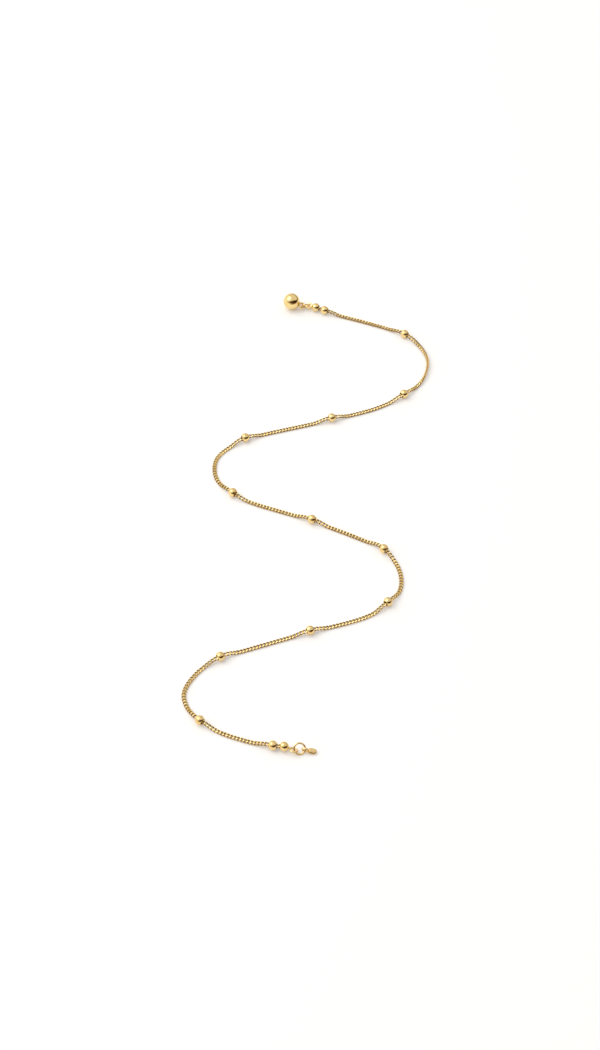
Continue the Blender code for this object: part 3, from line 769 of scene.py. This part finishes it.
def hairline_group():
    """Hairline scratches in two directions, from noise stretched along each, as a height."""
    group = bpy.data.node_groups.new("gold_hairlines", "ShaderNodeTree")
    group_socket(group, "Vector", "NodeSocketVector", "INPUT")
    group_socket(group, "Fineness", "NodeSocketFloat", "INPUT", HAIRLINE_NOISE.scale)
    group_socket(group, "Height", "NodeSocketFloat", "OUTPUT")
    nodes, links = group.nodes, group.links
    given = nodes.new("NodeGroupInput")
    result = nodes.new("NodeGroupOutput")
    deeper = nodes.new("ShaderNodeMath")
    deeper.operation = "MINIMUM"
    for number, turn in enumerate(HAIRLINE_TURNS):
        stretch = nodes.new("ShaderNodeMapping")
        stretch.inputs["Rotation"].default_value = [math.radians(angle) for angle in turn]
        stretch.inputs["Scale"].default_value = HAIRLINE_STRETCH
        links.new(given.outputs["Vector"], stretch.inputs["Vector"])
        cut = spread_noise(nodes, links, stretch.outputs["Vector"], given.outputs["Fineness"],
                           HAIRLINE_NOISE)
        links.new(cut.outputs["Result"], deeper.inputs[number])
    links.new(deeper.outputs["Value"], result.inputs["Height"])
    return group


# Finishes: pale and deep tone, bright and dull roughness, size of a scratch's depth
FINISHES = {
    "chain": ((0.99, 0.80, 0.37), (0.94, 0.71, 0.28), 0.16, 0.28, 0.0006 * MM),
    "bead": ((0.94, 0.72, 0.34), (0.86, 0.60, 0.25), 0.07, 0.15, 0.0004 * MM),
    "ball": ((0.94, 0.73, 0.34), (0.88, 0.64, 0.27), 0.07, 0.14, 0.0004 * MM),
    "wire": ((0.93, 0.69, 0.33), (0.82, 0.56, 0.24), 0.14, 0.26, 0.0008 * MM),
    "strip": ((0.92, 0.68, 0.32), (0.80, 0.54, 0.22), 0.14, 0.28, 0.0010 * MM),
}


def gold(name, groups, pale, deep, bright, dull, scratch):
    """Polished gold: two tones, an uneven polish and hairline scratches, on Object coordinates."""
    material = bpy.data.materials.new(name + "_gold")
    material.use_nodes = True
    nodes, links = material.node_tree.nodes, material.node_tree.links
    shader = nodes["Principled BSDF"]
    shader.inputs["Metallic"].default_value = 1.0
    place = nodes.new("ShaderNodeTexCoord")
    tone, polish, hairlines = (nodes.new("ShaderNodeGroup") for _ in groups)
    tone.node_tree, polish.node_tree, hairlines.node_tree = groups
    tone.inputs["Pale"].default_value = (*pale, 1)
    tone.inputs["Deep"].default_value = (*deep, 1)
    polish.inputs["Bright"].default_value = bright
    polish.inputs["Dull"].default_value = dull
    bump = nodes.new("ShaderNodeBump")
    bump.inputs["Distance"].default_value = scratch
    for node in (tone, polish, hairlines):
        links.new(place.outputs["Object"], node.inputs["Vector"])
    links.new(tone.outputs["Colour"], shader.inputs["Base Color"])
    links.new(polish.outputs["Roughness"], shader.inputs["Roughness"])
    links.new(hairlines.outputs["Height"], bump.inputs["Height"])
    links.new(bump.outputs["Normal"], shader.inputs["Normal"])
    return material


def paint_recess_shade(material):
    """Painted shade: the links' colour mixed to dark brown where the painted shade attribute is 1, in
    their recesses.
    """
    nodes, links = material.node_tree.nodes, material.node_tree.links
    base = nodes["Principled BSDF"].inputs["Base Color"]
    clean = base.links[0].from_socket
    painted_shade = nodes.new("ShaderNodeAttribute")
    painted_shade.attribute_name = PAINTED_SHADE
    links.new(mixed(nodes, links, painted_shade.outputs["Fac"], clean, PAINTED_SHADE_COLOUR), base)


def make_materials():
    groups = (tone_group(), polish_group(), hairline_group())
    materials = {name: gold(name, groups, *finish) for name, finish in FINISHES.items()}
    # Painted shade in the recesses of the chain's links
    paint_recess_shade(materials["chain"])
    return materials


# Surroundings that the gold mirrors: the studio's colours, and the ranges over which they change.
# The dark oval's heading, rise and tilt are in degrees, and its half sizes are in direction units.
SKY_COLOUR = (0.84, 0.83, 0.815)
HORIZON_LEFT_COLOUR = (1.30, 1.24, 1.10)
HORIZON_RIGHT_COLOUR = (0.16, 0.10, 0.06)
HORIZON_TURN = (-0.6, 0.3)
HORIZON_REACH = (0.0, 0.50)
DARK_HEADING = -60.0
DARK_RISE = 31.0
DARK_TILT = -9.0
DARK_HALF_WIDTH = 1.15
DARK_HALF_HEIGHT = 0.42
DARK_EDGE = (0.60, 1.05)
DARK_FACING = (0.1, -0.1)
DARK_TURN = (-1.0, 0.6)
DARK_LEFT_COLOUR = (0.11, 0.075, 0.035)
DARK_RIGHT_COLOUR = (0.045, 0.012, 0.004)
FLOOR_COLOUR = (0.90, 0.895, 0.89)
FLOOR_ROUGHNESS = 0.7
FLOOR_SPECULAR = 0.2
FLOOR_GLOW = 0.18
FLOOR_SIZE = 6.0
KEY_PLACE = (-0.66, 0.18, 0.92)
KEY_SIZE = 1.10
KEY_POWER = 5.4


def make_world():
    """A white studio, brighter towards the left horizon and darker towards the right one. The
    unlit side of the room is a dark oval, dimmest at its right: a and b are a direction's
    shares of the tilted oval's half width and half height, and it is dark where a^2 + b^2 is
    small. The camera itself sees plain white."""
    world = bpy.data.worlds.new("studio")
    bpy.context.scene.world = world
    world.use_nodes = True
    nodes, links = world.node_tree.nodes, world.node_tree.links
    nodes.clear()
    direction = nodes.new("ShaderNodeTexCoord").outputs["Generated"]
    middle = heading_vector(DARK_HEADING, DARK_RISE)
    level = unit(np.cross(UP, middle))
    tilt = math.radians(DARK_TILT)
    right = math.cos(tilt) * level + math.sin(tilt) * np.cross(middle, level)
    upward = np.cross(middle, right)
    across = along_axis(nodes, links, direction, right / DARK_HALF_WIDTH)
    above = along_axis(nodes, links, direction, upward / DARK_HALF_HEIGHT)
    facing = along_axis(nodes, links, direction, middle)
    oval = nodes.new("ShaderNodeCombineXYZ")
    links.new(across, oval.inputs["X"])
    links.new(above, oval.inputs["Y"])
    far = nodes.new("ShaderNodeVectorMath")
    far.operation = "LENGTH"
    links.new(oval.outputs["Vector"], far.inputs[0])
    outside = ramp(nodes, links, far.outputs["Value"], *DARK_EDGE)
    behind = ramp(nodes, links, facing, *DARK_FACING)
    lit = nodes.new("ShaderNodeMath")
    lit.operation = "MAXIMUM"
    links.new(outside, lit.inputs[0])
    links.new(behind, lit.inputs[1])
    dimmer = ramp(nodes, links, across, *DARK_TURN)
    dark = mixed(nodes, links, dimmer, DARK_LEFT_COLOUR, DARK_RIGHT_COLOUR)
    height = along_axis(nodes, links, direction, UP)
    to_right = ramp(nodes, links, along_axis(nodes, links, direction, (1, 0, 0)), *HORIZON_TURN)
    horizon = mixed(nodes, links, to_right, HORIZON_LEFT_COLOUR, HORIZON_RIGHT_COLOUR)
    sky = mixed(nodes, links, ramp(nodes, links, height, *HORIZON_REACH), horizon, SKY_COLOUR)
    studio = nodes.new("ShaderNodeBackground")
    plain = nodes.new("ShaderNodeBackground")
    plain.inputs["Color"].default_value = (1, 1, 1, 1)
    path = nodes.new("ShaderNodeLightPath")
    choose = nodes.new("ShaderNodeMixShader")
    output = nodes.new("ShaderNodeOutputWorld")
    links.new(mixed(nodes, links, lit.outputs["Value"], dark, sky), studio.inputs["Color"])
    links.new(path.outputs["Is Camera Ray"], choose.inputs["Fac"])
    links.new(studio.outputs["Background"], choose.inputs[1])
    links.new(plain.outputs["Background"], choose.inputs[2])
    links.new(choose.outputs["Shader"], output.inputs["Surface"])


def make_floor():
    corners = np.array([(-1, -1, 0), (1, -1, 0), (1, 1, 0), (-1, 1, 0)]) * FLOOR_SIZE / 2
    mesh = bpy.data.meshes.new("white_surface")
    mesh.from_pydata(corners, [], [(0, 1, 2, 3)])
    material = bpy.data.materials.new("white_surface")
    material.use_nodes = True
    shader = material.node_tree.nodes["Principled BSDF"]
    shader.inputs["Base Color"].default_value = (*FLOOR_COLOUR, 1)
    shader.inputs["Roughness"].default_value = FLOOR_ROUGHNESS
    shader.inputs["Specular IOR Level"].default_value = FLOOR_SPECULAR
    shader.inputs["Emission Color"].default_value = (1, 1, 1, 1)
    shader.inputs["Emission Strength"].default_value = FLOOR_GLOW
    mesh.materials.append(material)
    floor = bpy.data.objects.new("white_surface", mesh)
    bpy.context.collection.objects.link(floor)


def aim(thing, target):
    """Turn a lamp or camera, which looks along its own -Z, to a target."""
    direction = thing.location - type(thing.location)(target)
    thing.rotation_euler = direction.to_track_quat("Z", "Y").to_euler()


def make_key_light(target):
    """The wide soft light from the left."""
    lamp = bpy.data.lights.new("key_light", "AREA")
    lamp.shape = "DISK"
    lamp.size = KEY_SIZE
    lamp.energy = KEY_POWER
    key = bpy.data.objects.new("key_light", lamp)
    bpy.context.collection.objects.link(key)
    key.location = KEY_PLACE
    aim(key, target)


def make_camera(target):
    camera = bpy.data.objects.new("camera", bpy.data.cameras.new("camera"))
    bpy.context.collection.objects.link(camera)
    camera.data.lens = CAMERA_LENS
    camera.data.sensor_width = SENSOR_WIDTH
    camera.location = target + CAMERA_DISTANCE * heading_vector(-90, CAMERA_ELEVATION)
    aim(camera, target)
    bpy.context.scene.camera = camera


def main():
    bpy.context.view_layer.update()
    bpy.context.scene.view_settings.view_transform = "Standard"
    stations = bead_stations()
    curve = chain_curve(stations)
    view_target = np.array([*curve[2], 0.0]) + CAMERA_TARGET
    make_world()
    make_floor()
    make_key_light(view_target)
    make_camera(view_target)

    materials = make_materials()
    add_piece(chain_surface("curb_links", curve, stations), materials["chain"], "chain")
    make_station_beads(curve, stations, materials["bead"])
    top_centre, first = bead_place(curve, stations[0])
    top_heading = math.degrees(math.atan2(-first[1], -first[0])) + TOP_EYE_TURN
    top_axis = heading_vector(top_heading, -TOP_EYE_DIP)
    make_top_end(placing_at(top_centre, top_axis, np.cross(UP, top_axis)), materials)
    bottom_centre, last = bead_place(curve, stations[-1])
    bottom_heading = math.degrees(math.atan2(last[1], last[0])) + BOTTOM_EYE_TURN
    bottom_axis = heading_vector(bottom_heading, BOTTOM_EYE_RISE)
    make_bottom_end(placing_at(bottom_centre, bottom_axis, np.cross(UP, bottom_axis)), materials)


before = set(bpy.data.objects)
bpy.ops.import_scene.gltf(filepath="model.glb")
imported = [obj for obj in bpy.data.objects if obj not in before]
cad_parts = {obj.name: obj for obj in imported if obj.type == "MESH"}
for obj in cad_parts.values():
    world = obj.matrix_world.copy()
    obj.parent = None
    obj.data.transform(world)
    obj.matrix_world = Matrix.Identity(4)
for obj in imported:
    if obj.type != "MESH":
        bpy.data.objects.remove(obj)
main()
